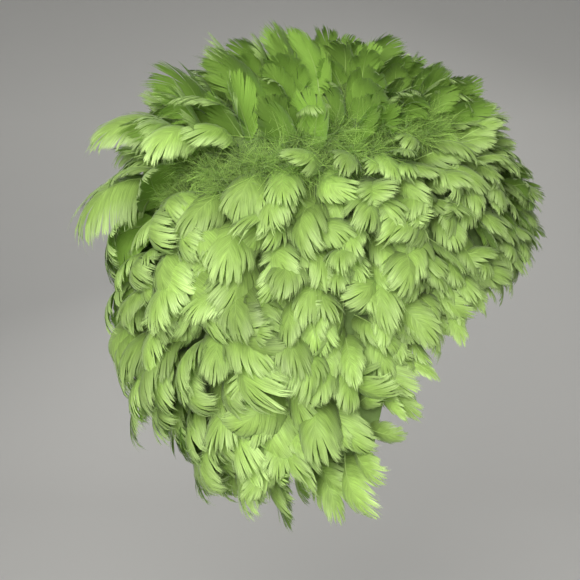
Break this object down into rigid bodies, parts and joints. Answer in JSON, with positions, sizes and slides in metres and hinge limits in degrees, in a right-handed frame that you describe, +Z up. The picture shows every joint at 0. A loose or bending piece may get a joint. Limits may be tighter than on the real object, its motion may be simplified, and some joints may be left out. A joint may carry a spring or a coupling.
{
  "type": "feather hat",
  "caption": "Bouffant hood-shaped hat of curled lime-green feathers that covers the crown, the ears and the nape, with an open face.",
  "frame": {"origin": "inside of the cap's top, where it sits on the crown of the head", "axes": "+Z up, out of the crown; -Y toward the face opening; +X toward the wearer's left"},
  "size_m": [0.2577, 0.3256, 0.3526],
  "materials": {
    "cap_cloth": "matt stiffened cloth",
    "feather_lime": "satin feather, outer face",
    "feather_underside": "matt feather, under face"
  },
  "bodies": {
    "root": {"foundation_cap": "cap_cloth", "crown_tuft": "feather_underside", "crown_ring_1": "feather_underside", "crown_ring_2": "feather_underside", "crown_ring_3": "feather_underside", "crown_ring_4": "feather_underside", "hanging_ring_1": "feather_lime", "hanging_ring_2": "feather_lime", "hanging_ring_3": "feather_lime", "hanging_ring_4": "feather_lime", "hanging_ring_5": "feather_lime", "hanging_ring_6": "feather_lime", "rim_ring": "feather_lime", "curled_plume_1": "feather_lime", "curled_plume_2": "feather_lime", "curled_plume_3": "feather_lime", "curled_plume_4": "feather_lime", "curled_plume_5": "feather_lime"}
  },
  "joints": []
}
